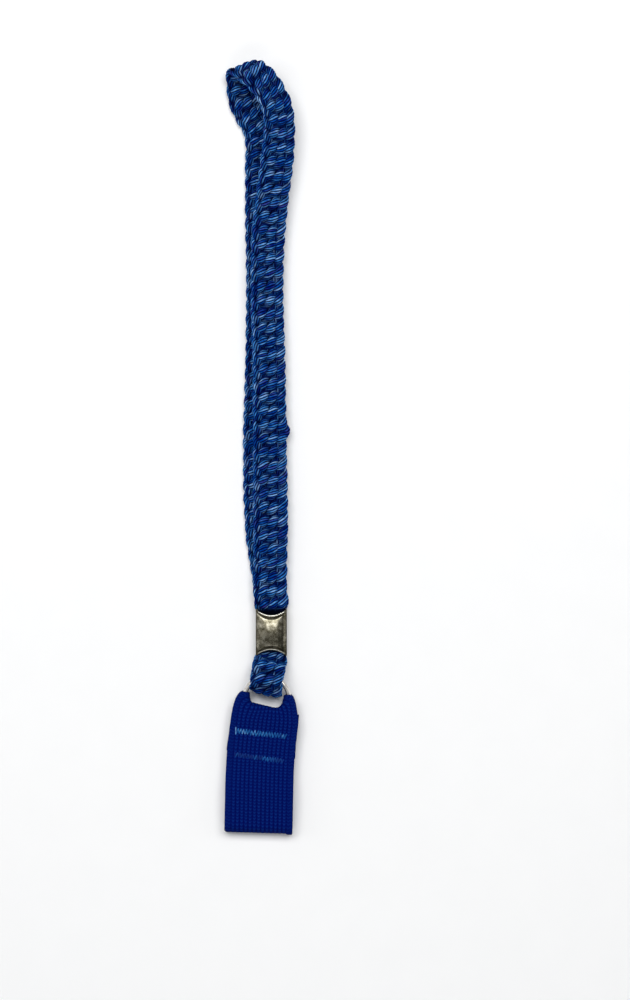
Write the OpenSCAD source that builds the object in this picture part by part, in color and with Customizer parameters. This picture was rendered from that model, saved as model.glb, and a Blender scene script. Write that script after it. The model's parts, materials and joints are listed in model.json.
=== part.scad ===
// Wrist strap for a walking stick: a flat braided cord strap folded into a
// long hand loop and a short ring loop, gripped by a pressed metal clamp, a
// round wire ring, and a sewn band of ribbed elastic that grips the stick.
// The strap lies flat. +X is across it, +Y runs towards the hand loop and +Z
// is up. The origin is the centre of the clamp's flat back. Millimetres.

/* [Braided strap] */
// Width of the flat braid
braid_w = 13; // [12:0.5:13]
// Thickness of the flat braid
braid_t = 3.1; // [2.6:0.1:3.1]
// Width of the braid where it is drawn together round the ring
neck_w = 11.8; // [11:0.2:12.2]

/* [Clamp] */
// Width of the pressed metal clamp
clamp_w = 11.6; // [11.4:0.1:12.4]
// Length of the clamp along the strap
clamp_l = 17; // [15:0.5:17]
// Height of the clamp over its flat back
clamp_h = 7.2; // [7:0.1:7.4]
// Thickness of the clamp's sheet metal
sheet_t = 0.7; // [0.5:0.1:0.8]
// Depth of the hollow cut into each end of the clamp's front
scoop_depth = 2; // [1:0.2:2.4]

/* [Ring] */
// Outside diameter of the wire ring
ring_od = 18.4; // [18:0.2:19]
// Diameter of the ring's wire
wire_d = 1.8; // [1.4:0.1:1.8]
// Lean of the ring loop to the left, below the clamp
ring_lean = 6; // [0:1:8]

/* [Elastic band] */
// Width of the elastic
elastic_w = 25.4; // [24:0.2:27]
// Thickness of one ply of the elastic
elastic_t = 1.3; // [1.1:0.1:1.4]
// Length of the sewn band below the ring's centre
band_l = 51.9; // [50:0.5:56]
// Gap between the plies of the stick loop at rest
stick_gap = 5.2; // [4.8:0.1:5.4]
// Lean of the band to the left
band_lean = 4; // [2:0.5:6]

/* [Seams] */
// Height of the zigzag stitching
zigzag_h = 2.2; // [1.6:0.1:2.6]
// Length of each seam
seam_l = 19.2; // [16:0.2:20]
// Teeth of the zigzag in each seam
seam_teeth = 14; // [10:1:16]
// How far the sewing thread stands proud of the elastic
thread_t = 0.3; // [0.2:0.05:0.35]

/* [Hidden] */

braid_blue = [0.11, 0.37, 0.66];
elastic_blue = [0.07, 0.17, 0.55];
thread_blue = [0.20, 0.50, 0.78];
antique_nickel = [0.62, 0.58, 0.51];
wire_nickel = [0.72, 0.71, 0.69];
eps = 0.01;

// The clamp and what it grips
dome_h = 0.7;
dome_w = clamp_w - 2.4;
body_h = clamp_h - dome_h;
corner_r = 1.2;
side_gap = 0.1;
core_w = clamp_w - 2 * (sheet_t + side_gap);
core_h = body_h - 2 * sheet_t;
mid_z = body_h / 2;
scoop_r = 9;
butt_gap = 0.4;

// The hinge that stands for the strap bending where it leaves the clamp
flex_y = 14;
knuckle_r = 3.2;
stub_end = 11.1;
stub_w = 11;
hinge_gap = 0.3;

// The ring hangs in the fold by its wire. The cavity lets the curved wire turn
// freely, and the hinge axis is midway between the wire's highest and lowest
// points within the fold's width.
ring_r = (ring_od - wire_d) / 2;
wire_low = sqrt(pow(ring_r - wire_d / 2, 2) - neck_w * neck_w / 4);
ring_drop = (ring_od / 2 + wire_low) / 2;
fold_in = ring_od / 2 - ring_drop + 0.25;
channel_r = wire_d / 2 + 0.25;
fold_ply = 2.8;
fold_out = fold_in + fold_ply;
mouth_y = -clamp_l / 2 - 0.9;
mouth_half = core_h / 2 - 0.2;
fold_y = -clamp_l / 2 - 9.5;
crotch_y = mouth_y - 1.6;
core_start = mouth_y - 0.8;

// The elastic band: local +Y points back to the ring's centre
loop_half = stick_gap / 2 + elastic_t;
head_half = channel_r + elastic_t - 0.15;
seam_half = 1.5 * elastic_t;
head_top = 3;
head_low = -9.5;
seam_top = -12.5;
seam_low = -24.5;
belly_y = -34;
loop_end_y = -band_l + loop_half;
slit_y = -26;
notch_half = 7.3;
notch_floor = -2.7;
notch_corner = 2;
upper_seam_y = -13.6;
lower_seam_y = -23;
upper_seam_turn = -1;
lower_seam_turn = 0;
seam_x = -0.9;

// The band droops from the ring until its far end rests on the ground
band_tilt = asin((fold_out - loop_half) / (ring_drop - loop_end_y));

// Route of the hand loop: x, y, z, heading of the braid's width, roll of its
// left edge upwards. It leaves the clamp in front, turns at the crown, where
// the loop is twisted to the left, and comes back underneath.
LOOP_ROUTE = [
    [0, 14, 4.9, 0, 0], [0, 24, 5.1, 0, 0], [-0.2, 34, 5.3, 0, 1], [-0.3, 46, 5.4, 0, 4],
    [-0.5, 60, 5.8, 0, 10], [-0.6, 74, 6.4, 0, 16], [-0.7, 88, 6.9, 0, 20], [-1, 104, 7, 0, 21],
    [-1.5, 120, 7, 0, 21], [-1.6, 135, 7.1, -1, 20], [-1, 149, 7.5, -4, 19],
    [0.4, 162, 8.5, -8, 20], [1.9, 173, 10, -7, 21], [2.9, 182, 11.4, -1, 22],
    [2.9, 190.5, 12.2, 9, 22], [1.4, 197.2, 12.5, 20, 22], [-1.4, 202.2, 12.8, 31, 20],
    [-4.8, 205.7, 12.6, 32, 16], [-7.8, 207.8, 11, 26, 10], [-10, 208.6, 8.6, 17, 4],
    [-11.2, 208, 5.9, 7, 0], [-11.6, 205.9, 3.6, 1, 0], [-11.4, 203, 2.2, 4, 0],
    [-10.6, 199.4, 1.7, 14, 0], [-9.1, 196, 1.55, 24, 0], [-7.1, 192.6, 1.55, 29, 0],
    [-5.1, 188.6, 1.55, 23, 0], [-4, 184, 1.55, 10, 0], [-3.6, 177, 1.55, 0, 0],
    [-3.6, 165, 1.55, -1, 0], [-3.2, 148, 1.55, 0, 0], [-3, 130, 1.55, 0, 0],
    [-3.1, 112, 1.55, 0, 0], [-3.5, 94, 1.55, 2, 0], [-4.1, 76, 1.55, 2, 0],
    [-4.1, 60, 1.55, 0, 0], [-3.8, 46, 1.55, -1, 0], [-3, 34, 1.6, -4, 0], [-1.4, 23, 1.6, -6, 0],
    [0, 14, 1.65, -2, 0]
];
STEPS = 2;

function catmull(a, b, c, d, t) =
    0.5 * (2 * b + (c - a) * t + (2 * a - 5 * b + 4 * c - d) * t * t
           + (3 * b - a - 3 * c + d) * t * t * t);

function at(route, i) = route[max(0, min(len(route) - 1, i))];

function refine(route, steps) = concat(
    [for (i = [0 : len(route) - 2], k = [0 : steps - 1])
        catmull(at(route, i - 1), route[i], route[i + 1], at(route, i + 2), k / steps)],
    [route[len(route) - 1]]);

function place(p) = [p[0], p[1], p[2]];
function unit(v) = v / norm(v);
function along(route, i) = unit(place(at(route, i + 1)) - place(at(route, i - 1)));

// The braid's width at a point of the route, square to the way it runs
function across(p, t) =
    let (w = [cos(p[3]) * cos(p[4]), sin(p[3]) * cos(p[4]), -sin(p[4])])
    unit(w - (w * t) * t);

// A flat strip with rounded edges, as eight corners: across and outwards
function strip_section(w, t) = let (a = w / 2, b = t / 2, c = 0.45 * t)
    [[a, c - b], [a, b - c], [a - c, b], [c - a, b],
     [-a, b - c], [-a, c - b], [c - a, -b], [a - c, -b]];

function strip_points(route, section) =
    [for (i = [0 : len(route) - 1])
        let (t = along(route, i), w = across(route[i], t), n = cross(w, t))
        for (s = section) place(route[i]) + s[0] * w + s[1] * n];

function strip_faces(rings, sides) = concat(
    [[for (j = [sides - 1 : -1 : 0]) j]],
    [for (i = [0 : rings - 2], j = [0 : sides - 1])
        let (a = i * sides + j, b = i * sides + (j + 1) % sides)
        each [[a, b, a + sides], [b, b + sides, a + sides]]],
    [[for (j = [0 : sides - 1]) (rings - 1) * sides + j]]);

module along_x(length) {
    rotate([90, 0, 90]) linear_extrude(length, center = true) children();
}

module rounded_rect(w, h, r) {
    square([w - 2 * r, h], center = true);
    square([w, h - 2 * r], center = true);
    for (x = [-1, 1], y = [-1, 1])
        translate([x * (w / 2 - r), y * (h / 2 - r)]) circle(r, $fn = 48);
}

// Where the line from p touches the circle at c, on the given side
function touch(c, r, p, side) =
    let (d = p - c, a = atan2(d[1], d[0]) + side * acos(r / norm(d)))
    c + r * [cos(a), sin(a)];

// A circle at c drawn out to the two points near and far
module teardrop(c, r, high, low) {
    translate(c) circle(r, $fn = 96);
    polygon([c, touch(c, r, high, 1), high, low, touch(c, r, low, -1)]);
}

// Turned with the ring loop, about the middle of the clamp's lower end
module with_ring_loop() {
    translate([0, -clamp_l / 2, 0]) rotate([0, 0, -ring_lean])
        translate([0, clamp_l / 2, 0]) children();
}

// Placed in the ring's own plane, with the ring's centre at the origin
module with_ring() {
    with_ring_loop() translate([0, fold_y, fold_out]) rotate([band_tilt, 0, 0])
        translate([0, -ring_drop, 0]) children();
}

module with_band() {
    with_ring() rotate([0, 0, ring_lean - band_lean]) children();
}

module clamp_front() {
    crown_r = (dome_w * dome_w / 4 + dome_h * dome_h) / (2 * dome_h);
    intersection() {
        translate([0, 0, clamp_h - crown_r]) rotate([90, 0, 0])
            cylinder(h = clamp_l, r = crown_r, center = true, $fn = 180);
        translate([-dome_w / 2, -clamp_l / 2, clamp_h - dome_h - eps])
            cube([dome_w, clamp_l, dome_h + eps]);
    }
}

module crimp_clamp() {
    color(antique_nickel) difference() {
        union() {
            translate([0, 0, body_h / 2]) rotate([90, 0, 0])
                linear_extrude(clamp_l, center = true) rounded_rect(clamp_w, body_h, corner_r);
            clamp_front();
        }
        translate([0, 0, mid_z])
            cube([clamp_w - 2 * sheet_t, clamp_l + 1, core_h], center = true);
        for (end = [-1, 1])
            translate([0, end * (clamp_l / 2 + scoop_r - scoop_depth), clamp_h - 1.6])
                cylinder(h = 2, r = scoop_r, $fn = 120);
    }
}

// The braid inside the clamp, where its two ends butt in the front ply, and
// the short root of the hand loop
module gripped_braid() {
    difference() {
        union() {
            translate([-core_w / 2, core_start, sheet_t])
                cube([core_w, stub_end - core_start - 0.5, core_h]);
            translate([-stub_w / 2, clamp_l / 2 + side_gap, sheet_t + 0.1])
                cube([stub_w, stub_end - clamp_l / 2 - side_gap, core_h - 0.2]);
        }
        translate([0, flex_y, mid_z]) rotate([0, 90, 0])
            cylinder(h = 20, r = knuckle_r + hinge_gap, center = true, $fn = 96);
        translate([-core_w, -butt_gap / 2, mid_z]) cube([2 * core_w, butt_gap, clamp_h]);
    }
}

module ring_loop() {
    c = [fold_y, fold_out];
    color(braid_blue) {
        gripped_braid();
        with_ring_loop() difference() {
            along_x(neck_w)
                teardrop(c, fold_out, [mouth_y, mid_z + mouth_half], [mouth_y, mid_z - mouth_half]);
            along_x(neck_w + 1)
                teardrop(c, fold_in, [crotch_y, mid_z + 0.05], [crotch_y, mid_z - 0.05]);
        }
    }
}

module wrist_loop() {
    route = refine(LOOP_ROUTE, STEPS);
    section = strip_section(braid_w, braid_t);
    color(braid_blue) {
        polyhedron(strip_points(route, section), strip_faces(len(route), len(section)), convexity = 8);
        translate([0, flex_y, mid_z]) rotate([0, 90, 0])
            cylinder(h = stub_w, r = knuckle_r, center = true, $fn = 64);
    }
}

module ring() {
    color(wire_nickel) with_ring() rotate_extrude($fn = 120)
        translate([ring_r, 0]) circle(wire_d / 2, $fn = 48);
}

// The side of the band: a head folded over the ring, the sewn plies, and the
// belly of the stick loop
module band_side() {
    half = [[head_top - head_half, head_half], [head_low, head_half], [seam_top, seam_half],
            [seam_low, seam_half], [belly_y, loop_half], [loop_end_y, loop_half]];
    translate([head_top - head_half, 0]) circle(head_half, $fn = 72);
    translate([loop_end_y, 0]) circle(loop_half, $fn = 96);
    polygon(concat(half, [for (i = [len(half) - 1 : -1 : 0]) [half[i][0], -half[i][1]]]));
}

module stick_hole_side() {
    r = stick_gap / 2;
    translate([loop_end_y, 0]) circle(r, $fn = 96);
    polygon([[slit_y, 0], [belly_y, r], [loop_end_y, r], [loop_end_y, -r], [belly_y, -r]]);
}

module head_notch() {
    linear_extrude(4 * head_half, center = true) {
        translate([-notch_half, notch_floor + notch_corner])
            square([2 * notch_half, head_top - notch_floor]);
        translate([notch_corner - notch_half, notch_floor])
            square([2 * (notch_half - notch_corner), head_top - notch_floor]);
        for (s = [-1, 1])
            translate([s * (notch_half - notch_corner), notch_floor + notch_corner])
                circle(notch_corner, $fn = 48);
    }
}

module elastic_band() {
    color(elastic_blue) with_band() difference() {
        along_x(elastic_w) band_side();
        along_x(elastic_w + 2) stick_hole_side();
        head_notch();
        rotate_extrude($fn = 120) translate([ring_r, 0]) circle(channel_r, $fn = 48);
    }
}

// A zigzag run of thread across the front and the back of the sewn plies
module seam(y, turn) {
    pitch = seam_l / (2 * seam_teeth);
    heel = 0.32;
    line = [for (i = [0 : 2 * seam_teeth]) [i * pitch - seam_l / 2, (i % 2 - 0.5) * zigzag_h]];
    outline = concat([for (p = line) p + [0, heel]],
                     [for (i = [len(line) - 1 : -1 : 0]) line[i] - [0, heel]]);
    color(thread_blue) with_band() for (s = [0, 1])
        translate([seam_x, y, s ? seam_half : -seam_half - thread_t])
            rotate([0, 0, turn]) linear_extrude(thread_t) polygon(outline);
}

module upper_seam_thread() {
    seam(upper_seam_y, upper_seam_turn);
}

module lower_seam_thread() {
    seam(lower_seam_y, lower_seam_turn);
}

crimp_clamp();
ring_loop();
wrist_loop();
ring();
elastic_band();
upper_seam_thread();
lower_seam_thread();
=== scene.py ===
"""A walking stick's wrist strap, lying flat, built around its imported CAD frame.

Lengths are in millimetres until a mesh is made, and every mesh is stored in metres.
"""
import json
import math

import bpy
import numpy as np
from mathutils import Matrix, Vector


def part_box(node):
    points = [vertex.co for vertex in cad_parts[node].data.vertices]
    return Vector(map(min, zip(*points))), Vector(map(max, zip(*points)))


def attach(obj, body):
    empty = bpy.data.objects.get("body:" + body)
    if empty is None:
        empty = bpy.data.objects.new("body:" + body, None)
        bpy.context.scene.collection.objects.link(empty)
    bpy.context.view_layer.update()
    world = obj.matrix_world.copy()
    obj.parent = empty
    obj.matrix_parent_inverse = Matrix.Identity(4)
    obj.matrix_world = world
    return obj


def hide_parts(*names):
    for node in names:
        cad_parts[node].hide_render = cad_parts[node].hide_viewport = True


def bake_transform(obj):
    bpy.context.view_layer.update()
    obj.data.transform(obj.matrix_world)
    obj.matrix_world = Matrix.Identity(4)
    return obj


MM = 0.001

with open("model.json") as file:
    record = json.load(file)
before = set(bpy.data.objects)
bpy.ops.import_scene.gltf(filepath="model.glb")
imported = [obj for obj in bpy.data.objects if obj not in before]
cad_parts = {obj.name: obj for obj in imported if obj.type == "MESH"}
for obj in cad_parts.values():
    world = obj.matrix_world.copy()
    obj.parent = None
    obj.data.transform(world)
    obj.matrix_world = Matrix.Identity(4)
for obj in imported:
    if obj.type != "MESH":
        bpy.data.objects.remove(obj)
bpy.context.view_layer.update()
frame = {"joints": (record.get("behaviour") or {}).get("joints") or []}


# ---------------------------------------------------------------- frame facts

def node_box(name):
    """Lowest and highest corner of a CAD node, in millimetres."""
    low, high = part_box(name)
    return np.array(low) / MM, np.array(high) / MM


def joint(name):
    """A joint's point in millimetres and its unit axis."""
    found = next(j for j in frame["joints"] if j["name"] == name)
    axis = np.array(found["axis"], float)
    return np.array(found["pos_m"], float) / MM, axis / np.linalg.norm(axis)


CLAMP_LOW, CLAMP_HIGH = node_box("crimp_clamp")
CLAMP_HALF_L = (CLAMP_HIGH[1] - CLAMP_LOW[1]) / 2
CLAMP_W = CLAMP_HIGH[0] - CLAMP_LOW[0]
FLEX_AT, _ = joint("loop_flex")
FOLD_AT, FOLD_AXIS = joint("ring_swing")
RING_AT, RING_NORMAL = joint("band_sway")
FOLD_AXIS = FOLD_AXIS * np.sign(FOLD_AXIS[0])       # pointing to the right


# --------------------------------------------------------------------- camera

CAMERA_AT = (16.3, 49.4, 886)


def make_camera():
    """Straight above, with the strap to the left of the middle."""
    data = bpy.data.cameras.new("camera")
    data.lens = 85
    data.sensor_width = 36
    data.clip_end = 10
    camera = bpy.data.objects.new("camera", data)
    bpy.context.scene.collection.objects.link(camera)
    camera.location = Vector(CAMERA_AT) * MM
    bpy.context.scene.camera = camera


make_camera()


# ------------------------------------------------------------------ mesh tools

def new_mesh(name, points, faces):
    """A smooth-shaded object from points in millimetres."""
    mesh = bpy.data.meshes.new(name)
    mesh.from_pydata((np.asarray(points) * MM).tolist(), [], [list(f) for f in faces])
    mesh.validate()
    mesh.polygons.foreach_set("use_smooth", [True] * len(mesh.polygons))
    obj = bpy.data.objects.new(name, mesh)
    bpy.context.scene.collection.objects.link(obj)
    return obj


def tube_faces(rings, sides, first=0):
    """Faces of a tube of rings, each of sides points, with its ends closed."""
    i, j = np.meshgrid(np.arange(rings - 1), np.arange(sides), indexing="ij")
    a = i * sides + j
    b = i * sides + (j + 1) % sides
    quads = np.stack([a, b, b + sides, a + sides], axis=-1).reshape(-1, 4) + first
    faces = quads.tolist()
    faces.append((np.arange(sides)[::-1] + first).tolist())
    faces.append((np.arange(sides) + (rings - 1) * sides + first).tolist())
    return faces


def add_floats(obj, name, values):
    """One number for each vertex, which a material reads by name."""
    layer = obj.data.attributes.new(name, "FLOAT", "POINT")
    layer.data.foreach_set("value", np.asarray(values, np.float32).ravel())


def add_uv(obj, u, v):
    """A UV map from one u and one v for each vertex."""
    layer = obj.data.uv_layers.new(name="Along")
    corners = np.zeros(len(obj.data.loops), np.int32)
    obj.data.loops.foreach_get("vertex_index", corners)
    pairs = np.stack([np.asarray(u).ravel()[corners], np.asarray(v).ravel()[corners]], axis=-1)
    layer.data.foreach_set("uv", pairs.astype(np.float32).ravel())


def unit(v):
    """Vectors of length 1 in the same directions."""
    return v / np.linalg.norm(v, axis=-1, keepdims=True)


def smooth_step(x, low, high):
    """0 below low, 1 above high, and a smooth rise between them."""
    t = np.clip((np.asarray(x, float) - low) / (high - low), 0, 1)
    return t * t * (3 - 2 * t)


def waves(x, seed, count=4, longest=40.0):
    """A smooth wandering value of about -1 to 1, always the same for a seed."""
    rng = np.random.default_rng(seed)
    total = np.zeros_like(np.asarray(x, float))
    for n in range(count):
        length = longest / (1.7 ** n)
        total = total + np.sin(2 * math.pi * (x / length + rng.random())) / (n + 1)
    return total / 1.6


# ------------------------------------------------------------------- materials

def srgb(red, green, blue):
    """Linear colour from screen values of 0 to 255."""
    def linear(c):
        c = c / 255
        return c / 12.92 if c <= 0.04045 else ((c + 0.055) / 1.055) ** 2.4
    return (linear(red), linear(green), linear(blue), 1.0)


def grey(level):
    """A linear grey, for a ramp that gives a factor, a roughness or a pale floor."""
    return (level, level, level, 1)


class Nodes:
    """Builds one material's nodes."""

    def __init__(self, name):
        self.material = bpy.data.materials.new(name)
        self.material.use_nodes = True
        self.tree = self.material.node_tree
        self.shader = self.tree.nodes["Principled BSDF"]

    def add(self, kind, **settings):
        """A node, with sockets' values or the node's own settings by name."""
        made = self.tree.nodes.new(kind)
        for key, value in settings.items():
            if key in made.inputs:
                made.inputs[key].default_value = value
            else:
                setattr(made, key, value)
        return made

    def link(self, source, target):
        self.tree.links.new(source, target)

    def attribute(self, name):
        return self.add("ShaderNodeAttribute", attribute_name=name).outputs["Fac"]

    def scaled(self, source, scale):
        mapping = self.add("ShaderNodeMapping")
        mapping.inputs["Scale"].default_value = scale
        self.link(source, mapping.inputs["Vector"])
        return mapping.outputs["Vector"]

    def uv(self, scale):
        """The UV map called Along, times scale."""
        return self.scaled(self.add("ShaderNodeUVMap", uv_map="Along").outputs["UV"], scale)

    def place(self):
        """Object coordinates in millimetres."""
        where = self.add("ShaderNodeTexCoord").outputs["Object"]
        return self.scaled(where, (1 / MM, 1 / MM, 1 / MM))

    def noise(self, vector, scale, detail=2.0, rough=0.5):
        made = self.add("ShaderNodeTexNoise", Scale=scale, Detail=detail, Roughness=rough)
        self.link(vector, made.inputs["Vector"])
        return made.outputs["Fac"]

    def ramp(self, source, stops):
        made = self.add("ShaderNodeValToRGB")
        elements = made.color_ramp.elements
        while len(elements) < len(stops):
            elements.new(0.5)
        for element, (at, colour) in zip(elements, stops):
            element.position = at
            element.color = colour
        self.link(source, made.inputs["Fac"])
        return made.outputs["Color"]

    def math(self, operation, a, b=0.0):
        made = self.add("ShaderNodeMath", operation=operation)
        for socket, value in zip(made.inputs, (a, b)):
            if isinstance(value, (int, float)):
                socket.default_value = value
            else:
                self.link(value, socket)
        return made.outputs[0]

    def mix(self, factor, a, b):
        made = self.add("ShaderNodeMix", data_type="RGBA")
        # inputs 6 and 7 and output 2 are the node's colour sockets
        for socket, value in ((made.inputs[0], factor), (made.inputs[6], a), (made.inputs[7], b)):
            if isinstance(value, (int, float, tuple)):
                socket.default_value = value
            else:
                self.link(value, socket)
        return made.outputs[2]

    def bump(self, height, distance, strength):
        made = self.add("ShaderNodeBump", Strength=strength, Distance=distance * MM)
        self.link(height, made.inputs["Height"])
        return made.outputs["Normal"]

    def finish(self, colour, normal, rough, **fixed):
        """The material, with any other uniform values by their sockets' names."""
        self.link(colour, self.shader.inputs["Base Color"])
        if isinstance(rough, float):
            self.shader.inputs["Roughness"].default_value = rough
        else:
            self.link(rough, self.shader.inputs["Roughness"])
        if normal is not None:
            self.link(normal, self.shader.inputs["Normal"])
        for name, value in fixed.items():
            self.shader.inputs[name.replace("_", " ")].default_value = value
        return self.material


def cord_material():
    """Plied blue cord: light plies with painted highlights along their crests and
    painted shade in the hollows between them, more painted shade where one strand
    dips under the next, and a painted shadow inside the clamp."""
    n = Nodes("braid cord")
    tone = n.attribute("ply_tone")
    ridge = n.attribute("ridge")
    open_to_light = n.attribute("exposure")
    patch = n.noise(n.place(), 0.30, 2.0, 0.6)
    fleck = n.noise(n.uv((1.0, 0.7, 1)), 1.1, 2.0, 0.6)
    level = n.math("ADD", n.math("MULTIPLY", tone, 0.45), n.math("MULTIPLY", fleck, 0.62))
    level = n.math("ADD", level, n.math("MULTIPLY", n.math("SUBTRACT", patch, 0.5), 0.5))
    thread = n.ramp(level, [
        (0.25, srgb(0, 26, 118)), (0.45, srgb(2, 74, 164)),
        (0.62, srgb(60, 136, 212)), (0.82, srgb(146, 194, 250))])
    dye = n.noise(n.uv((0.8, 0.35, 1)), 0.8, 2.0, 0.7)
    violet = n.ramp(dye, [(0.52, grey(0)), (0.68, grey(1))])
    thread = n.mix(n.math("MULTIPLY", violet, 0.45), thread, srgb(84, 84, 168))
    # painted shade: the dark navy in the hollows between the plies
    hollow = n.ramp(patch, [(0.3, srgb(0, 0, 34)), (0.7, srgb(0, 4, 58))])
    # painted highlight along each ply's crest
    crest_highlight = n.ramp(ridge, [(0.52, grey(0)), (0.97, grey(1))])
    # painted shade where a strand lies under the next one
    lit = n.ramp(open_to_light, [(0.30, grey(0.02)), (0.78, grey(1))])
    colour = n.mix(n.math("MULTIPLY", crest_highlight, lit), hollow, thread)
    # painted shadow on the braid inside the clamp
    colour = n.mix(n.attribute("clamp_shadow"), colour, srgb(0, 2, 14))
    fibre = n.add("ShaderNodeTexWave", Scale=1.5, Distortion=2.0, Detail=1.0, wave_type="BANDS",
                  bands_direction="DIAGONAL")
    n.link(n.uv((1.0, 1.2, 1)), fibre.inputs["Vector"])
    fine = n.noise(n.uv((3.0, 1.0, 1)), 3.0, 2.0)
    height = n.math("ADD", n.math("MULTIPLY", fibre.outputs["Fac"], 0.6), fine)
    normal = n.bump(height, 0.05, 0.8)
    return n.finish(colour, normal, 0.85, Specular_IOR_Level=0.015)


# ------------------------------------------------------------------- the braid

# Route of the hand loop, within 1.5 mm of the CAD's: x, y, z, heading of the
# braid's width and roll of its left edge upwards, in degrees. It leaves the
# clamp in front, turns over at the crown and comes back underneath.
HAND_LOOP = [
    (-0.5, 14, 4.9, 0, 0), (-0.4, 24, 5.1, 0, 0), (-0.3, 34, 5.3, 0, 1), (-0.3, 46, 5.4, 0, 4),
    (-0.5, 60, 5.8, 0, 10), (-0.6, 74, 6.4, 0, 16), (-0.7, 88, 6.9, 0, 20), (-1, 104, 7, 0, 21),
    (-1.5, 120, 7, 0, 21), (-1.6, 135, 7.1, -1, 20), (-1, 149, 7.5, -4, 19), (0.4, 162, 8.5, -8, 20),
    (1.9, 173, 10, -7, 21), (2.9, 182, 11.4, -1, 22), (2.9, 190.5, 12.2, 9, 22),
    (1.4, 197.2, 12.5, 20, 22), (-1.4, 202.2, 12.8, 31, 20), (-4.6, 205.9, 12.6, 34, 16),
    (-7.4, 208.3, 11, 31, 10), (-9.4, 209.8, 8.6, 23, 4), (-10.4, 209.4, 5.9, 12, 0),
    (-10.8, 207, 3.6, 4, 0), (-10.7, 203.5, 2.2, 4, 0), (-10.2, 199.4, 1.7, 14, 0),
    (-8.7, 196, 1.55, 24, 0), (-6.7, 192.6, 1.55, 29, 0), (-4.7, 188.6, 1.55, 23, 0),
    (-3.7, 184, 1.55, 10, 0), (-3.4, 177, 1.55, 0, 0), (-3.4, 165, 1.55, -1, 0), (-3.2, 148, 1.55, 0, 0),
    (-3, 130, 1.55, 0, 0), (-3.1, 112, 1.55, 0, 0), (-3.5, 94, 1.55, 2, 0), (-4.1, 76, 1.55, 2, 0),
    (-4.1, 60, 1.55, 0, 0), (-3.8, 46, 1.55, -1, 0), (-3, 34, 1.6, -4, 0), (-1.4, 23, 1.6, -6, 0),
    (0, 14, 1.65, -2, 0),
]

STRANDS = 7
ROW = 5.15              # one strand follows the next at this distance along the braid
BRAID_REACH = 4.9       # furthest that a strand's middle swings to each side
TURN_SHARPNESS = 0.80   # how square the turns at the edges are
WEAVE = 0.70            # how far a strand rises over and dips under the next
OFF_CENTRE = 0.70       # strands that run up to the right lie this much higher
TURN_SWELL = 0.05       # how much wider a strand spreads where it turns
STRAND_W = 1.60         # half width of a strand
STRAND_T = 0.88         # half thickness of a strand
PLIES = 8               # plies twisted into each strand
PLY_SIDES = 4           # mesh points round each ply
PLY_RISE = [0.0, 0.75, 1.0, 0.75]       # from the furrow between two plies, 0, to a crest, 1
PLY_DEPTH = 0.16        # depth of those furrows, as a part of the strand's half size
STRAND_SIDES = PLIES * PLY_SIDES
PLY_TWIST = 0.64        # turn of the plies, radians for each millimetre
STEP = 0.62             # distance between the rings of a strand's mesh
PATH_STEP = 0.12        # distance between the places where a strand's path is measured
LOOSE_TURN = 75.6       # where one strand bulges from the right edge
LOOSE_OUT = 1.4         # how far it bulges

PLY_IN_CLAMP = 1.70     # thickness of one ply of braid inside the clamp
FRONT_Z = FLEX_AT[2] + PLY_IN_CLAMP / 2
BACK_Z = FLEX_AT[2] - PLY_IN_CLAMP / 2
FOLD_SKEW = -9          # extra turn of the braid where it goes round the ring
FOLD_R = 4.1            # radius of the fold round the ring, at the braid's middle
RING_LOOP_SHIFT = 0.75  # how far the ring loop lies to the left of the ring's middle

# How much less far the strands swing to the sides than elsewhere, as a part.
NARROW_IN_CLAMP = 0.25
NARROW_AT_CROWN = 0.07
NARROW_LOW_DOWN = 0.06
# How much less the strands rise and dip than elsewhere, as a part.
FLAT_IN_CLAMP = 0.6
FLAT_AT_RING = 0.28


def ring_loop_route():
    """The braid's route from the clamp's lower end, round the ring and back."""
    down = np.array([FOLD_AXIS[1], -FOLD_AXIS[0]])
    top = np.array([0.0, -CLAMP_HALF_L])
    reach = float(np.dot(FOLD_AT[:2] - top, down))
    lean = math.degrees(math.atan2(FOLD_AXIS[1], FOLD_AXIS[0]))

    def at(along, z, heading=lean):
        x, y = top + down * along
        return (x - RING_LOOP_SHIFT * smooth_step(along, 1, 7), y, z, heading, 0)

    back = [at(1.4, BACK_Z), at(4.2, 1.55)]
    fold = []
    for a in np.radians(np.arange(10, 171, 20)):
        turned = lean + FOLD_SKEW * math.sin(a)
        fold.append(at(reach + FOLD_R * math.sin(a), FOLD_AT[2] - FOLD_R * math.cos(a), turned))
    front = [at(5.4, 8.2), at(1.6, 5.2)]
    return back + fold + front


def whole_route():
    """Control points of the whole braid, from one cut end to the other."""
    half = CLAMP_HALF_L
    start = [(0, 0.3, FRONT_Z, 0, 0), (0, half - 3.5, FRONT_Z, 0, 0), (0, half + 1, FRONT_Z + 0.1, 0, 0)]
    through = [(0, half + 1, BACK_Z - 0.1, 0, 0), (0, half - 3.5, BACK_Z, 0, 0),
               (0, 0, BACK_Z, 0, 0), (0, 3.5 - half, BACK_Z, 0, 0)]
    end = [(0, 3.5 - half, FRONT_Z, 0, 0), (0, -0.3, FRONT_Z, 0, 0)]
    return np.array(start + HAND_LOOP + through + ring_loop_route() + end, float)


def catmull_rom(points, per_span):
    """A curve through the points, with per_span places from each to the next."""
    padded = np.vstack([2 * points[0] - points[1], points, 2 * points[-1] - points[-2]])
    t = (np.arange(per_span) / per_span)[:, None]
    rows = []
    for a, b, c, d in zip(padded, padded[1:], padded[2:], padded[3:]):
        rows.append(0.5 * (2 * b + (c - a) * t + (2 * a - 5 * b + 4 * c - d) * t ** 2
                           + (3 * b - a - 3 * c + d) * t ** 3))
    return np.vstack(rows + [points[-1:]])


def smoothed(values, passes):
    """Rows of values with small wobbles evened out. The ends stay."""
    for _ in range(passes):
        inner = (values[:-2] + 2 * values[1:-1] + values[2:]) / 4
        values = np.vstack([values[:1], inner, values[-1:]])
    return values


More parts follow.
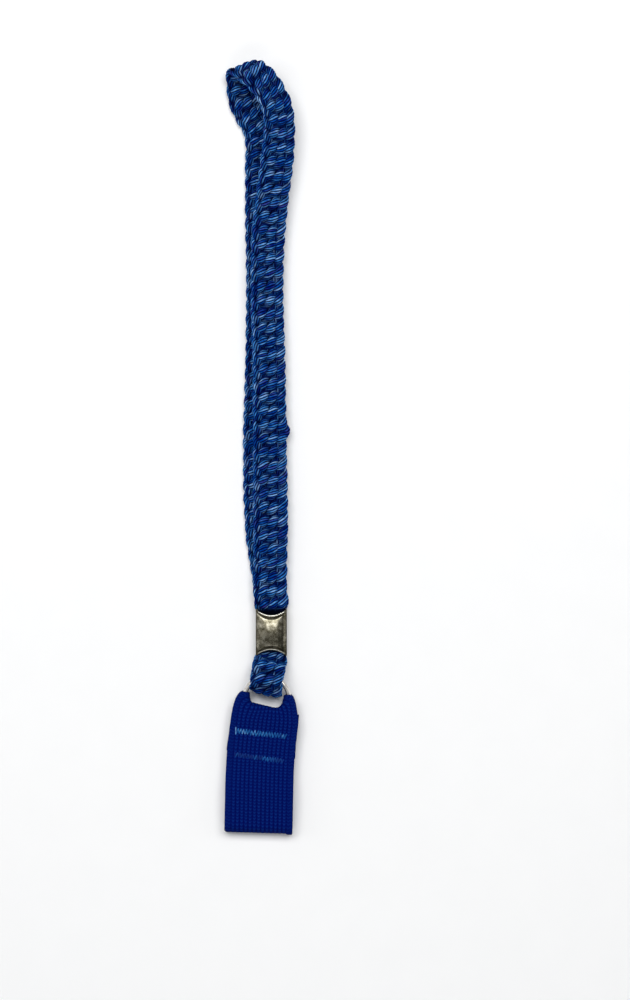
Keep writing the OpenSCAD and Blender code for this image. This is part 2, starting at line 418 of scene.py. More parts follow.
class Centreline:
    """The middle of the braid, with its width and outward directions."""

    def __init__(self, spacing=0.25):
        fine = catmull_rom(whole_route(), 24)
        length = np.concatenate([[0], np.cumsum(np.linalg.norm(np.diff(fine[:, :3], axis=0), axis=1))])
        self.length = length[-1]
        self.s = np.arange(0, self.length, spacing)
        even = np.stack([np.interp(self.s, length, column) for column in fine.T], axis=-1)
        even = smoothed(even, 12)
        self.points = even[:, :3]
        along = unit(np.gradient(self.points, axis=0))
        heading, roll = np.radians(even[:, 3]), np.radians(even[:, 4])
        wide = np.stack([np.cos(heading) * np.cos(roll), np.sin(heading) * np.cos(roll),
                         -np.sin(roll)], axis=-1)
        wide = unit(wide - np.sum(wide * along, axis=1, keepdims=True) * along)
        self.wide = wide
        self.out = np.cross(wide, along)
        y = self.points[:, 1]
        pinched = 1 - smooth_step(np.abs(y), CLAMP_HALF_L, CLAMP_HALF_L + 1.6)
        inside = 1 - smooth_step(np.abs(y), CLAMP_HALF_L - 0.2, CLAMP_HALF_L + 2.4)
        crown = smooth_step(y, 172, 186)
        low = 1 - smooth_step(y, 18, 40)
        self.narrow = (1 - NARROW_IN_CLAMP * pinched - NARROW_AT_CROWN * crown
                       - NARROW_LOW_DOWN * low * (1 - pinched))
        folded = 1 - smooth_step(y, FOLD_AT[1], FOLD_AT[1] + 5)
        self.thin = 1 - FLAT_IN_CLAMP * inside - FLAT_AT_RING * folded

    def at(self, s, across, outward):
        """Points at distances s along the braid, set off sideways and outwards."""
        def pick(values):
            return np.stack([np.interp(s, self.s, column) for column in values.T], axis=-1)
        sideways = across * np.interp(s, self.s, self.narrow)
        raised = outward * np.interp(s, self.s, self.thin)
        wide, out = unit(pick(self.wide)), unit(pick(self.out))
        return pick(self.points) + wide * sideways[:, None] + out * raised[:, None], out


def weave_height(s):
    """How high a strand rides at a distance s along its period: under one strand
    and over the next, and turning over at each edge."""
    half = STRANDS * ROW / 2
    h = np.mod(s, half)
    first, last = ROW / 2, half - ROW / 2
    crossing = -np.cos(2 * math.pi * (h - first) / ROW)
    before = -np.sin(math.pi * h / ROW)
    after = np.cos(math.pi * (h - last) / ROW)
    return np.where(h < first, before, np.where(h < last, crossing, after))


def strand_middle(line, index, s):
    """The middle of a strand, and the braid's middle and outward direction there."""
    placed = s + index * ROW + 0.22 * waves(s, 10 + index, 3, 37.0)
    turn = 2 * math.pi * placed / (STRANDS * ROW) - math.pi / 2
    swing = np.arcsin(TURN_SHARPNESS * np.sin(turn)) / math.asin(TURN_SHARPNESS)
    across = BRAID_REACH * swing + 0.10 * waves(s, 30 + index, 3, 19.0)
    loose = np.exp(-((s - LOOSE_TURN) / 2.1) ** 2) * smooth_step(swing, 0.75, 0.98)
    across = across + LOOSE_OUT * loose
    middle, out = line.at(s, across, WEAVE * weave_height(placed) + OFF_CENTRE * np.cos(turn))
    core, _ = line.at(s, 0 * s, 0 * s)
    return middle, core, out, np.abs(swing)


def strand_tube(middle, out, swing, travelled, index):
    """Mesh points round a strand, ring by ring, each following a twisted ply."""
    along = unit(np.gradient(middle, axis=0))
    side = unit(np.cross(along, out))
    up = np.cross(side, along)
    around = 2 * math.pi * np.arange(STRAND_SIDES) / STRAND_SIDES
    uneven = 0.4 * waves(travelled, 70 + index, 3, 23.0)[:, None]
    angle = around[None, :] - PLY_TWIST * travelled[:, None] + uneven
    lobe = 1 + PLY_DEPTH * (np.tile(PLY_RISE, PLIES)[None, :] - 0.67)
    swell = 1 + 0.04 * waves(travelled, 50 + index, 4, 11.0)
    spread = swell * (1 + TURN_SWELL * smooth_step(swing, 0.7, 1.0))
    half_w = STRAND_W * spread[:, None] * lobe
    half_t = STRAND_T * swell[:, None] * lobe
    return (middle[:, None, :] + side[:, None, :] * (half_w * np.cos(angle))[..., None]
            + up[:, None, :] * (half_t * np.sin(angle))[..., None])


def ply_tones(travelled, index):
    """How light each ply is along a strand: its own tone, which drifts a little."""
    ply = np.arange(STRAND_SIDES) // PLY_SIDES
    tones = np.random.default_rng(200 + index).permutation(np.linspace(0.1, 0.9, PLIES))
    drift = np.stack([waves(travelled, 300 + 10 * index + p, 3, 17.0) for p in range(PLIES)], axis=-1)
    return np.clip(tones[ply][None, :] + 0.2 * drift[:, ply], 0, 1)


def strand_exposure(points, core, out):
    """How open to the light each place is: 1 at the braid's faces and edges."""
    from_core = points - core[:, None, :]
    outward = np.sum(from_core * out[:, None, :], axis=-1, keepdims=True)
    lift = np.abs(outward[..., 0]) / (WEAVE + OFF_CENTRE + STRAND_T)
    beside = np.linalg.norm(from_core - outward * out[:, None, :], axis=-1)
    edge = smooth_step(beside, BRAID_REACH - 0.2, BRAID_REACH + 1.3)
    return np.clip(np.maximum(lift, edge), 0, 1)


def make_strand(line, index):
    """One plied cord of the braid, with what its material reads."""
    s = np.arange(0.0, line.length, PATH_STEP)
    middle, _, _, _ = strand_middle(line, index, s)
    run = np.concatenate([[0], np.cumsum(np.linalg.norm(np.diff(middle, axis=0), axis=1))])
    travelled = np.arange(0, run[-1], STEP)
    middle, core, out, swing = strand_middle(line, index, np.interp(travelled, run, s))
    points = strand_tube(middle, out, swing, travelled, index)
    rings, sides = points.shape[:2]
    obj = new_mesh(f"braid_strand_{index + 1}", points.reshape(-1, 3), tube_faces(rings, sides))
    add_floats(obj, "ply_tone", ply_tones(travelled, index))
    add_floats(obj, "ridge", np.broadcast_to(np.tile(PLY_RISE, PLIES), (rings, sides)))
    add_floats(obj, "exposure", strand_exposure(points, core, out))
    # painted shadow on the braid inside the clamp's mouths
    from_clamp = np.abs(points[..., 1]) - CLAMP_HALF_L + 1.1 * (points[..., 1] < 0)
    add_floats(obj, "clamp_shadow", 1 - smooth_step(from_clamp, -0.6, 1.2))
    u = np.broadcast_to(np.arange(sides) / PLY_SIDES, (rings, sides))
    v = np.broadcast_to(travelled[:, None], (rings, sides))
    add_uv(obj, u, v)
    return obj


def make_braid():
    """The plaited strands."""
    line = Centreline()
    material = cord_material()
    strands = [make_strand(line, index) for index in range(STRANDS)]
    for strand in strands:
        strand.data.materials.append(material)
        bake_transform(strand)
    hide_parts("ring_loop", "wrist_loop")


make_braid()


# ------------------------------------------------------------------- the clamp

SHEET_T = 0.7       # the clamp's sheet metal
MARGIN_Z = 6.1      # height of the flat margins of its front
PILLOW_H = 1.3      # the cushion of its front stands this much higher
SCOOP = 2.05        # depth of the hollow in each end of its front
SCOOP_HALF = 5.6    # half the width of that hollow
CUSHION_HALF = 4.55  # its reach to the right; to the left it reaches the edge
FRONT_HALF = 5.2    # half the width of the flat of the front
LIP_HALF = 4.9      # its cushion, lips and grooves fade from here to the flat's edge
GROOVE_AT = 0.86    # the groove's distance from the end
RIM_POINTS = 7      # mesh points across the rounded edge of the sheet


def clamp_outline():
    """Across the clamp, from the seam in its back, round and back to the seam:
    each point's x and z, how far it is scooped, and its outward direction."""
    half, low_r = CLAMP_W / 2, 1.2
    high_r = half - FRONT_HALF
    points = []
    for x in np.linspace(0.12, half - low_r, 14, endpoint=False):
        points.append((-x, 0, 0, 0, -1))
    for a in np.radians(np.linspace(0, 90, 9)):
        points.append((low_r - half - low_r * math.sin(a), low_r - low_r * math.cos(a), 0,
                       -math.sin(a), -math.cos(a)))
    for z in np.linspace(low_r, MARGIN_Z - high_r, 8)[1:-1]:
        points.append((-half, z, 0, -1, 0))
    for a in np.radians(np.linspace(0, 90, 9)):
        points.append((high_r - half - high_r * math.cos(a), MARGIN_Z - high_r + high_r * math.sin(a), 1,
                       -math.cos(a), math.sin(a)))
    for x in np.linspace(-FRONT_HALF, 0, 56)[1:]:
        points.append((x, MARGIN_Z, 1, 0, 1))
    left = np.array(points)
    right = left[-2::-1] * np.array([-1, 1, 1, -1, 1])
    return np.vstack([left, right])


def clamp_rows():
    """Positions along the clamp, as parts of its half length, close together
    at the ends where the lip and the groove are."""
    inner = np.linspace(0, 0.80, 26, endpoint=False)
    outer = np.linspace(0.80, 1, 26)
    half = np.concatenate([inner, outer])
    return np.concatenate([-half[:0:-1], half])


def clamp_relief(x, y, end):
    """Height of the clamp's front over its margins: a cushion, with a groove
    and a raised lip along each scooped end, and a groove beside the margins."""
    from_end = end - np.abs(y)
    cushion = PILLOW_H * (1 - 0.9 * (np.abs(y) / CLAMP_HALF_L) ** 1.9)
    cushion = cushion * np.maximum(1 - np.where(x < 0, -x / FRONT_HALF, x / CUSHION_HALF) ** 2.6, 0)
    body = smooth_step(from_end, 0.75, 1.7)
    lip = 0.26 * np.exp(-((from_end - 0.25) / 0.30) ** 2)
    groove = -0.30 * np.exp(-((from_end - GROOVE_AT) / 0.26) ** 2)
    side_groove = -0.09 * np.exp(-((x - CUSHION_HALF) / 0.16) ** 2)
    within = 1 - smooth_step(np.abs(x), LIP_HALF, FRONT_HALF)
    front = (cushion * (0.25 + 0.75 * body) + lip + groove) * within
    return front + side_groove * smooth_step(from_end, 0.6, 1.4)


def clamp_metal():
    """Cloudy antique nickel, darkened by a mask of painted shade and darker grooves,
    with a painted highlight on its lips.
    """
    n = Nodes("antique nickel")
    shade_and_groove_mask = n.attribute("shade_and_groove_mask")
    cloud = n.noise(n.place(), 0.55, 3.0, 0.6)
    grain = n.noise(n.place(), 5.5, 3.0, 0.75)
    level = n.math("ADD", n.math("MULTIPLY", cloud, 0.5), n.math("MULTIPLY", grain, 0.5))
    metal = n.ramp(level, [
        (0.38, srgb(54, 50, 36)), (0.5, srgb(117, 112, 95)), (0.62, srgb(184, 179, 162))])
    # dark metal where the mask of painted shade and darker grooves is low
    colour = n.mix(shade_and_groove_mask, srgb(30, 28, 20), metal)
    # painted highlight on the lips
    colour = n.mix(n.attribute("lip_highlight"), colour, srgb(250, 247, 236))
    rough = n.ramp(grain, [(0.3, grey(0.25)), (0.7, grey(0.34))])
    normal = n.bump(grain, 0.014, 0.6)
    return n.finish(colour, normal, rough, Metallic=1.0)


def clamp_shade_and_highlight(x, y, z, nx, front, end):
    """How bright the outside of the clamp is, 1 at the most: darker in the grooves
    along its ends, with painted shade at its lower end, down the right of its front,
    on its rounded side edges and low near the floor; and the painted highlight on its lips."""
    from_end = end - np.abs(y)
    lower = front * (y < 0)
    # darker in the grooves along the ends
    groove = np.exp(-((from_end - GROOVE_AT) / 0.3) ** 2) * front * (np.abs(x) < LIP_HALF)
    brightness = 1 - 0.75 * groove
    # painted shade at the lower end, above its lip
    brightness = brightness * (1 - 0.6 * np.exp(-((from_end - 1.2) / 0.7) ** 2) * lower)
    # painted shade in a band down the right of the front
    brightness = brightness * (1 - 0.5 * np.exp(-((x - CUSHION_HALF + 0.45) / 0.5) ** 2) * front)
    # painted shade on the rounded edges that face the sides
    brightness = brightness * (1 - 0.8 * np.abs(nx))
    # painted shade low on the sides and back, near the floor
    brightness = brightness * (1 - 0.35 * (1 - smooth_step(z, 0.2, 3.0)) * (1 - front))
    # painted highlight on the lips, fainter on the lower one
    lip = np.exp(-((from_end - 0.2) / 0.28) ** 2) * (np.abs(x) < FRONT_HALF - 0.3)
    return brightness, lip * front * np.where(y > 0, 1, 0.3)


def sheet_rim(outer, inner, way):
    """The rounded edge of the sheet, from its outside to its inside. It bulges
    up the strap where way is 1, and down where way is -1."""
    a = np.linspace(0, math.pi, RIM_POINTS + 2)[1:-1]
    middle = (outer + inner) / 2
    reach = (outer - inner) / 2
    bulge = 0.5 * np.linalg.norm(reach, axis=-1, keepdims=True) * np.array([0, way, 0])
    return np.stack([middle + reach * math.cos(b) + bulge * math.sin(b) for b in a], axis=1)


def make_clamp():
    """The pressed clamp, as one sheet bent round into a tube with a seam."""
    outline = clamp_outline()
    parts = clamp_rows()
    x, z, front, nx, nz = (column[:, None] for column in outline.T)
    hollow = SCOOP * np.maximum(1 - (x / SCOOP_HALF) ** 2, 0) * front
    end = CLAMP_HALF_L - hollow
    y = parts[None, :] * end
    relief = clamp_relief(x, y, end) * front
    outer = np.stack([x + 0 * y, y, z + relief], axis=-1)
    inner = np.stack([x - SHEET_T * nx + 0 * y, y, z - SHEET_T * nz + 0 * y], axis=-1)

    upper_rim = sheet_rim(outer[:, -1], inner[:, -1], 1)
    lower_rim = sheet_rim(outer[:, 0], inner[:, 0], -1)
    loop = np.concatenate([outer, upper_rim, inner[:, ::-1], lower_rim[:, ::-1]], axis=1)
    stations, sides = loop.shape[:2]
    obj = new_mesh("clamp", loop.reshape(-1, 3), tube_faces(stations, sides))
    brightness, highlight_on_lips = clamp_shade_and_highlight(x, y, z, nx, front, end)
    outside = y.shape[1]
    # painted shade inside the tube, and a little on the sheet's rounded edges
    shade_and_groove_mask = np.full((stations, sides), 0.45)
    shade_and_groove_mask[:, :outside] = brightness
    shade_and_groove_mask[:, outside:outside + RIM_POINTS] = 0.9
    shade_and_groove_mask[:, -RIM_POINTS:] = 0.8
    lip_highlight = np.zeros((stations, sides))
    lip_highlight[:, :outside] = highlight_on_lips
    add_floats(obj, "shade_and_groove_mask", shade_and_groove_mask)
    add_floats(obj, "lip_highlight", lip_highlight)
    obj.data.materials.append(clamp_metal())
    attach(obj, "clamp")
    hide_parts("crimp_clamp")


make_clamp()


# -------------------------------------------------------------------- the ring

RING_R = 8.3    # to the middle of the wire
WIRE_R = 0.9


def plane_axes(lean):
    """Across and down the ring's plane, with down leaning to the left."""
    level = unit(np.cross([0, 1, 0], RING_NORMAL))
    up = np.cross(RING_NORMAL, level)
    turn = math.radians(lean)
    across = level * math.cos(turn) - up * math.sin(turn)
    return across, -(up * math.cos(turn) + level * math.sin(turn))


def wire_metal():
    """Bright nickel, scratched along the wire, with a painted dark reflection on the inside of the ring.
    """
    n = Nodes("nickel wire")
    cloud = n.noise(n.place(), 0.6, 2.0)
    scratch = n.noise(n.uv((1.0, 14.0, 1)), 2.0, 3.0, 0.7)
    brightness = n.ramp(cloud, [(0.3, srgb(214, 208, 198)), (0.7, srgb(240, 238, 234))])
    # painted dark reflection on the inner side of the wire
    colour = n.mix(n.attribute("inner"), brightness, srgb(34, 32, 30))
    rough = n.ramp(scratch, [(0.3, grey(0.10)), (0.75, grey(0.24))])
    return n.finish(colour, n.bump(scratch, 0.004, 0.4), rough, Metallic=0.6)


def make_ring():
    """The wire ring. The butt of its two ends is inside the elastic's fold."""
    across, down = plane_axes(BAND_LEAN)
    rings, sides = 260, 40
    gap = 0.06 / RING_R
    around = np.linspace(gap, 2 * math.pi - gap, rings)
    about = 2 * math.pi * np.arange(sides) / sides
    spoke = down[None, :] * np.cos(around)[:, None] + across[None, :] * np.sin(around)[:, None]
    reach = RING_R + WIRE_R * np.cos(about)
    points = (RING_AT + spoke[:, None, :] * reach[None, :, None]
              + RING_NORMAL * (WIRE_R * np.sin(about))[None, :, None])
    obj = new_mesh("ring", points.reshape(-1, 3), tube_faces(rings, sides))
    u = np.broadcast_to(around[:, None] * RING_R, (rings, sides))
    v = np.broadcast_to(about[None, :] * WIRE_R, (rings, sides))
    add_uv(obj, u, v)
    # painted dark reflection on the side of the wire that faces the ring's middle
    inner = 0.9 * smooth_step(-np.cos(about), 0.3, 0.75)
    add_floats(obj, "inner", np.broadcast_to(inner, (rings, sides)))
    obj.data.materials.append(wire_metal())
    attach(obj, "ring")
    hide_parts("ring")


# ------------------------------------------------------------ the elastic band

# Places on the band are across it, down from the ring's centre, and out of the
# ring's plane towards the front.
BAND_LEAN = 4
ELASTIC_HALF_W = 12.65
ELASTIC_T = 1.3
RIB = 1.58              # distance between two ribs
RIB_H = 0.10
HEAD_R = 1.6            # the strip's middle turns round the wire at this radius
HEAD_LOW = 8.2          # the head ends here, and the plain plies begin
BELLY_R = 3.12          # half the gap between the plies' middles at the open end
BELLY_END = 46.7
SEAM_W = 1.3            # the front ply's middle where the three plies are sewn
INNER_END = 20.9        # cut end of the ply between the other two
BACK_END = 7.2          # cut end of the ply at the back, which slants
INNER_SLANT = 0.6       # the right end of the inner cut is this much lower than its middle
BACK_SLANT = 2.3        # the right end of the back cut is this much higher than its middle
UV_SHIFT = 100          # keeps the stitches' UV map above zero
COLUMNS = 154           # mesh points across the strip
ROW_STEP = 0.65         # distance between its rows
# How far the strip's middle wanders: down, and across there.
SWAY = [(0, 0), (8.2, -0.13), (13, -0.5), (20, -0.8), (28, -0.7), (35, -0.35), (42, 0), (52, 0.5)]
# Edge of the notch round the ring loop, from left to right: across and down.
NOTCH = [(-7.1, -1.9), (-6.8, 0.2), (-6.2, 1.8), (-4.8, 2.4), (-1.2, 3.0), (2.4, 3.6), (4.6, 3.5),
         (6.1, 2.1), (6.7, 0), (6.9, -1.9)]
# Left and right ends of the seams: across and down.
UPPER_SEAM = ((-10.9, 12.5), (8.2, 13.3))
LOWER_SEAM = ((-10.5, 21.4), (7.8, 22.6))

SWAY_V = np.arange(0, 60, 0.5)
SWAY_A = smoothed(np.interp(SWAY_V, *np.array(SWAY).T)[:, None], 60)[:, 0]


def sway(v):
    """How far to the right the strip's middle lies at a distance down."""
    return np.interp(v, SWAY_V, SWAY_A)


def squared(strip, v):
    """The distance down of each place in a row that runs square to the band."""
    lean = np.interp(v, SWAY_V, np.gradient(SWAY_A, SWAY_V)) * smooth_step(v, HEAD_LOW, 14)
    return v - strip * lean


def head_paths(e, samples=80):
    """From the edge of the notch down the front of the head: the path that each
    column of the strip takes, for e of -1 to 1 across the strip."""
    fine = catmull_rom(np.array(NOTCH), 12)
    fine = smoothed(fine, 10)
    length = np.concatenate([[0], np.cumsum(np.linalg.norm(np.diff(fine, axis=0), axis=1))])
    start = np.stack([np.interp((e + 1) / 2 * length[-1], length, column) for column in fine.T], axis=-1)
    outer = smooth_step(np.abs(e), 0.42, 1.0)
    side = np.sign(e)
    leave = np.stack([outer * side * 2.8, 1.6 - 2.9 * outer], axis=-1)
    squeeze = np.where(e < 0, 12.2, 10.7) / ELASTIC_HALF_W
    strip = e * ELASTIC_HALF_W
    arrive = np.stack([strip * (1 - outer * (1 - squeeze)), 6.4 - 8.0 * outer], axis=-1)
    finish = np.stack([strip + sway(HEAD_LOW), np.full_like(e, HEAD_LOW)], axis=-1)
    t = np.linspace(0, 1, samples)[:, None, None]
    return ((1 - t) ** 3 * start + 3 * (1 - t) ** 2 * t * (start + leave)
            + 3 * (1 - t) * t ** 2 * arrive + t ** 3 * finish)


def head_rows(e):
    """Rows of the head from the fold to the plain plies, in front: across,
    down and out."""
    paths = head_paths(e)
    hop = np.linalg.norm(np.diff(paths, axis=0), axis=-1)
    gone = np.concatenate([np.zeros((1, len(e))), np.cumsum(hop, axis=0)])
    rows = []
    for a in np.radians(np.linspace(0, 90, 8)):
        rows.append((np.full(len(e), HEAD_R * (1 - math.cos(a))), HEAD_R * math.sin(a)))
    for part in np.linspace(0, 1, 15)[1:]:
        rows.append((HEAD_R + (gone[-1] - HEAD_R) * part, HEAD_R))
    made = []
    for distance, out in rows:
        place = np.array([[np.interp(d, gone[:, c], paths[:, c, k]) for k in (0, 1)]
                          for c, d in enumerate(distance)])
        made.append(np.column_stack([place, np.full(len(e), out)]))
    return np.array(made)


def ply_out(v):
    """How far the middle of the front ply stands out, down the band."""
    seam = HEAD_R + (SEAM_W - HEAD_R) * smooth_step(v, HEAD_LOW, 12)
    return seam + (BELLY_R - SEAM_W) * smooth_step(v, 24, 35)


def plain_rows(e, values, out):
    """Rows straight across the strip, at the given distances down."""
    strip = e * ELASTIC_HALF_W
    rows = []
    for v, w in zip(values, out):
        rows.append(np.column_stack([strip + sway(v), squared(strip, v), np.full(len(e), w)]))
    return rows


def strip_grid():
    """The middle of the strip, row by row from its cut end between the plies,
    over the ring, down the front, round the far end and up the back."""
    e = np.linspace(-1, 1, COLUMNS)
    strip = e * ELASTIC_HALF_W
    start = INNER_END + INNER_SLANT * e
    count = int((INNER_END - HEAD_LOW) / ROW_STEP)
    rows = []
    for part in np.linspace(1, 0, count, endpoint=False):
        at = HEAD_LOW + (start - HEAD_LOW) * part
        at = at + squared(strip, np.mean(at)) - np.mean(at)
        w = -HEAD_R * (1 - smooth_step(np.mean(at), HEAD_LOW, 12.5))
        wider = 1 + 0.018 * smooth_step(np.mean(at), 15, 20)
        rows.append(np.column_stack([strip * wider + sway(np.mean(at)), at, np.full(len(e), w)]))
    head = head_rows(e)
    rows.extend(head[::-1] * np.array([1, 1, -1]))
    rows.extend(head[1:])
    down = np.arange(HEAD_LOW + ROW_STEP, BELLY_END, ROW_STEP)
    rows.extend(plain_rows(e, down, ply_out(down)))
    corner = 0.35 * smooth_step(e, 0.80, 0.88) - 0.7 * smooth_step(-e, 0.93, 1.0)
    for a in np.radians(np.linspace(90, -90, 18)):
        row = plain_rows(e, [BELLY_END + 0.95 * BELLY_R * math.cos(a)], [BELLY_R * math.sin(a)])[0]
        row[:, 1] += corner * math.cos(a)
        rows.append(row)
    up = np.arange(BELLY_END - ROW_STEP, BACK_END, -ROW_STEP)
    behind = -ply_out(up) - 1.35 * (1 - smooth_step(up, 9.0, 12.5))
    back = plain_rows(e, up, behind)
    for row, v in zip(back, up):
        row[:, 1] -= BACK_SLANT * e * (1 - smooth_step(v, BACK_END, 16))
    return np.array(rows + back), e


def sunk_at_seams(grid):
    """The sewn plies, drawn in along the two seams."""
    across, down = grid[..., 0], grid[..., 1]
    depth = np.zeros_like(across)
    for (x0, v0), (x1, v1) in (UPPER_SEAM, LOWER_SEAM):
        line = v0 + (v1 - v0) * (across - x0) / (x1 - x0)
        inside = smooth_step(across, x0 - 1, x0 + 0.6) * (1 - smooth_step(across, x1 - 0.6, x1 + 1))
        depth = np.maximum(depth, 0.20 * np.exp(-((down - line) / 1.2) ** 2) * inside)
    out = grid[..., 2]
    return np.where(np.abs(out) > 1.0, depth, 0) * np.sign(out)


def selvage(strip):
    """1 on the plain edges of the strip and 0 on the ribs."""
    return smooth_step(np.abs(strip), 10.1, 10.9)


def rib_height(strip):
    """Rounded lengthwise ribs with narrow furrows, and plain selvages."""
    ridge = np.abs(np.cos(math.pi * strip / RIB)) ** 0.8
    plain = selvage(strip)
    return RIB_H * ((ridge - 0.6) * (1 - plain) + 0.1 * plain)


def band_points(grid):
    """Places on the band, in the scene's axes."""
    across, down = plane_axes(BAND_LEAN)
    return RING_AT + grid[..., :1] * across + grid[..., 1:2] * down + grid[..., 2:] * RING_NORMAL


def elastic_weave():
    """Fine slanting stitches that meet in a point on each rib, with painted shade in the furrows between
    the ribs.
    """
    n = Nodes("ribbed elastic")
    place = n.add("ShaderNodeUVMap", uv_map="Along").outputs["UV"]
    parts = n.add("ShaderNodeSeparateXYZ")
    n.link(place, parts.inputs[0])
    across, along = parts.outputs[0], parts.outputs[1]
    # a whole number of ribs is added, which keeps the value above zero
    slant = n.math("PINGPONG", n.math("ADD", across, 100 * RIB), RIB / 2)
    wander = n.noise(n.uv((0.5, 0.5, 1)), 0.8, 2.0)
    phase = n.math("ADD", n.math("MULTIPLY", along, 5.3), n.math("MULTIPLY", slant, 4.0))
    phase = n.math("ADD", phase, n.math("MULTIPLY", wander, 4.5))
    stitch = n.math("ADD", n.math("MULTIPLY", n.math("SINE", phase), 0.5), 0.5)
    fuzz = n.noise(n.uv((3.0, 3.0, 1)), 2.0, 3.0, 0.7)
    furrow_shade = n.attribute("furrow_shade")
    level = n.math("ADD", n.math("MULTIPLY", stitch, 0.22), n.math("MULTIPLY", fuzz, 0.75))
    thread = n.ramp(level, [(0.3, srgb(0, 8, 80)), (0.5, srgb(2, 25, 99)), (0.7, srgb(16, 54, 130))])
    # painted shade in the furrows
    colour = n.mix(furrow_shade, thread, srgb(0, 6, 78))
    height = n.math("ADD", n.math("MULTIPLY", stitch, 0.45), n.math("MULTIPLY", fuzz, 0.45))
    return n.finish(colour, n.bump(height, 0.12, 1.0), 0.9, Specular_IOR_Level=0.02)


def mark_elastic(obj, grid, strip, middle):
    """The painted shade in the furrows between the ribs, a little over the plain selvages too,
    and the UV map that the weave reads. Gives the strip's length.
    """
    ridge = np.abs(np.cos(math.pi * strip / RIB))
    ribbed = 1 - selvage(strip)
    # painted shade, strongest in the furrows between the ribs, weaker over the selvages
    furrow_shade = 0.35 + (0.6 - 0.95 * smooth_step(ridge, 0.2, 0.9)) * ribbed
    hop = np.linalg.norm(np.diff(middle, axis=0), axis=-1)
    along = np.vstack([np.zeros(len(strip)), np.cumsum(hop, axis=0)])
    in_front = grid[:, COLUMNS // 2, 2] > SEAM_W / 2
    plain = np.argmax(in_front & (grid[:, COLUMNS // 2, 1] > HEAD_LOW))
    stitched = along - along[plain] + UV_SHIFT
    size = (len(grid), 2 * COLUMNS)
    add_floats(obj, "furrow_shade", np.broadcast_to(np.concatenate([furrow_shade, furrow_shade[::-1]]), size))
    u = np.broadcast_to(np.concatenate([strip, strip[::-1]]), size)
    v = np.concatenate([stitched, stitched[:, ::-1]], axis=1)
    add_uv(obj, u, v)
    return along[-1, COLUMNS // 2]


def make_elastic():
    """The band, as one strip with two cut ends. Gives the strip's length as well."""
    grid, e = strip_grid()
    strip = e * ELASTIC_HALF_W
    middle = band_points(grid)
    tangent = np.gradient(middle, axis=0)
    across = np.gradient(middle, axis=1)
    normal = unit(np.cross(across, tangent))
    half = ELASTIC_T / 2 + rib_height(strip)[None, :] * np.ones((len(grid), 1))
    soft_edge = 1 - 0.45 * np.clip((np.abs(e) - 0.965) / 0.035, 0, 1)[None, :] ** 2
    half = half * soft_edge
    sink = sunk_at_seams(grid)[..., None] * RING_NORMAL
    front = middle + normal * half[..., None] - sink
    back = middle - normal * half[..., None] - sink
    loop = np.concatenate([front, back[:, ::-1]], axis=1)
    rows, sides = loop.shape[:2]
    obj = new_mesh("elastic", loop.reshape(-1, 3), tube_faces(rows, sides))
    length = mark_elastic(obj, grid, strip, middle)
    obj.data.materials.append(elastic_weave())
    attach(obj, "band")
    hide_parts("elastic_band")
    return obj, length


# ------------------------------------------------------------------- the seams

TEETH = 18          # in each zigzag
ZIGZAG_H = 2.1      # height of the zigzag
THREAD_R = 0.21


def thread_fibre():
    """Light blue thread, with painted shade where its stitches are sunk."""
    n = Nodes("sewing thread")
    shine = n.attribute("shine")
    fleck = n.noise(n.place(), 0.9, 2.0, 0.7)
    # shine is painted: a lighter thread where a stitch stands out, painted shade where it is sunk
    level = n.math("ADD", n.math("MULTIPLY", shine, 0.62), n.math("MULTIPLY", fleck, 0.5))
    colour = n.ramp(level, [(0.25, srgb(2, 24, 100)), (0.5, srgb(10, 58, 130)), (0.72, srgb(24, 98, 166)),
                            (0.95, srgb(132, 174, 220))])
    twist = n.noise(n.place(), 6.0, 2.0)
    return n.finish(colour, n.bump(twist, 0.03, 0.6), 0.6, Specular_IOR_Level=0.12)


def stitch(start, end, out, radius):
    """One stitch as a tube that dips into the cloth at both ends."""
    rings, sides = 7, 8
    t = np.linspace(0, 1, rings)[:, None]
    arch = (np.sin(math.pi * t) ** 0.6) * 0.30 - 0.26
    middle = start + (end - start) * t
    along = unit(end - start)
    side = np.array([-along[1], along[0]])
    rows = []
    for p, lift in zip(middle, arch[:, 0]):
        a = 2 * math.pi * np.arange(sides) / sides
        flat = p[None, :] + side[None, :] * (radius * np.cos(a))[:, None]
        rows.append(np.column_stack([flat, out + np.sign(out) * lift + radius * np.sin(a)]))
    return np.array(rows)


def make_seam(name, node, ends, shine, proud, seed):
    """A zigzag through the plies, seen in front and behind."""
    rng = np.random.default_rng(seed)
    start, finish = np.array(ends[0]), np.array(ends[1])
    along = unit(finish - start)
    high = np.array([-along[1], along[0]])
    count = 2 * TEETH
    corners = []
    for i in range(count + 1):
        tall = ZIGZAG_H / 2 * (1.45 if i < 2 else 1.0) * (1 + 0.10 * rng.standard_normal())
        jog = along * 0.10 * rng.standard_normal()
        corners.append(start + (finish - start) * i / count + high * tall * (1 if i % 2 else -1) + jog)
    points, faces, shines = [], [], []
    for out in (SEAM_W + ELASTIC_T / 2, -SEAM_W - ELASTIC_T / 2):
        for i in range(count):
            away = np.sign(out) * (proud - 0.16 + 0.05 * rng.standard_normal())
            rows = stitch(corners[i], corners[i + 1], out + away, THREAD_R)
            first = len(points)
            faces.extend(tube_faces(rows.shape[0], rows.shape[1], first))
            points.extend(rows.reshape(-1, 3))
            part = i / count
            level = shine(part) + 0.12 * rng.standard_normal()
            shines.extend([level] * (rows.shape[0] * rows.shape[1]))
    obj = new_mesh(name, band_points(np.array(points)), faces)
    add_floats(obj, "shine", np.clip(shines, 0, 1))
    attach(obj, "band")
    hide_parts(node)
    return obj


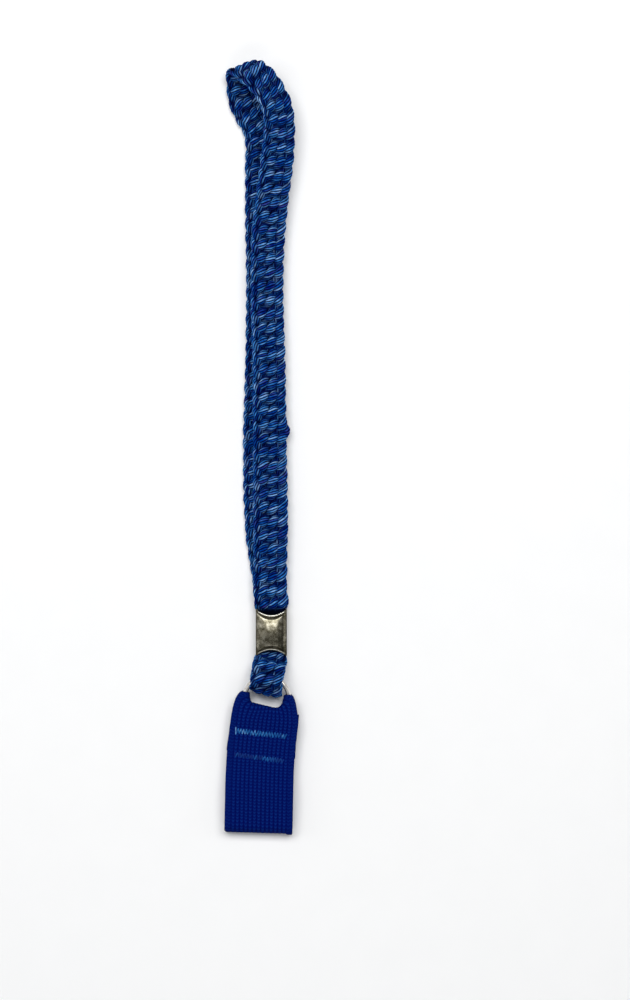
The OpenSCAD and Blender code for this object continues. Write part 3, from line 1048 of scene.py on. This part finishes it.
def make_band():
    """The elastic and its two seams. The lower one is sunk deeper and has more painted shade."""
    elastic, length = make_elastic()
    thread = thread_fibre()
    upper = make_seam("upper_seam", "upper_seam_thread", UPPER_SEAM,
                      lambda part: 0.78 - 0.2 * part, 0.14, 1)
    lower = make_seam("lower_seam", "lower_seam_thread", LOWER_SEAM,
                      lambda part: 0.22 + 0.35 * math.exp(-((part - 0.68) / 0.16) ** 2), 0.0, 2)
    for seam in (upper, lower):
        seam.data.materials.append(thread)


make_ring()
make_band()


# ------------------------------------------------------------ stage and lights

def make_floor():
    """A plain pale floor, in metres."""
    side = 3.0
    corners = [(-side, -side, 0), (side, -side, 0), (side, side, 0), (-side, side, 0)]
    mesh = bpy.data.meshes.new("floor")
    mesh.from_pydata(corners, [], [(0, 1, 2, 3)])
    floor = bpy.data.objects.new("floor", mesh)
    bpy.context.scene.collection.objects.link(floor)
    n = Nodes("paper")
    grain = n.noise(n.place(), 0.08, 3.0)
    colour = n.ramp(grain, [(0.0, grey(0.94)), (1.0, grey(0.97))])
    mesh.materials.append(n.finish(colour, None, 1.0, Specular_IOR_Level=0.0))


def area_light(name, place, aim, size, power):
    """A soft light, with its places and size in metres and power in watts."""
    data = bpy.data.lights.new(name, "AREA")
    data.shape = "RECTANGLE"
    data.size, data.size_y = size
    data.energy = power
    light = bpy.data.objects.new(name, data)
    bpy.context.scene.collection.objects.link(light)
    light.location = place
    light.rotation_euler = (Vector(aim) - Vector(place)).to_track_quat("-Z", "Y").to_euler()


def make_lights():
    """Soft lights above, in front and at the sides, under a faint sky."""
    area_light("key", (0, 0.42, 1.05), (0, 0.08, 0), (1.1, 0.5), 11.8)
    area_light("front", (0, -0.75, 0.9), (0, -0.25, 0), (1.2, 0.4), 3.0)
    area_light("left", (-0.95, 0.1, 0.75), (0, 0.06, 0), (0.4, 0.9), 1.4)
    area_light("right", (1.1, 0.2, 0.6), (0, 0.06, 0), (0.3, 0.8), 0.8)
    world = bpy.context.scene.world or bpy.data.worlds.new("world")
    bpy.context.scene.world = world
    world.use_nodes = True
    background = world.node_tree.nodes["Background"]
    background.inputs["Color"].default_value = (0.9, 0.95, 1.0, 1)
    background.inputs["Strength"].default_value = 0.10
    bpy.context.scene.view_settings.view_transform = "Standard"


make_floor()
make_lights()
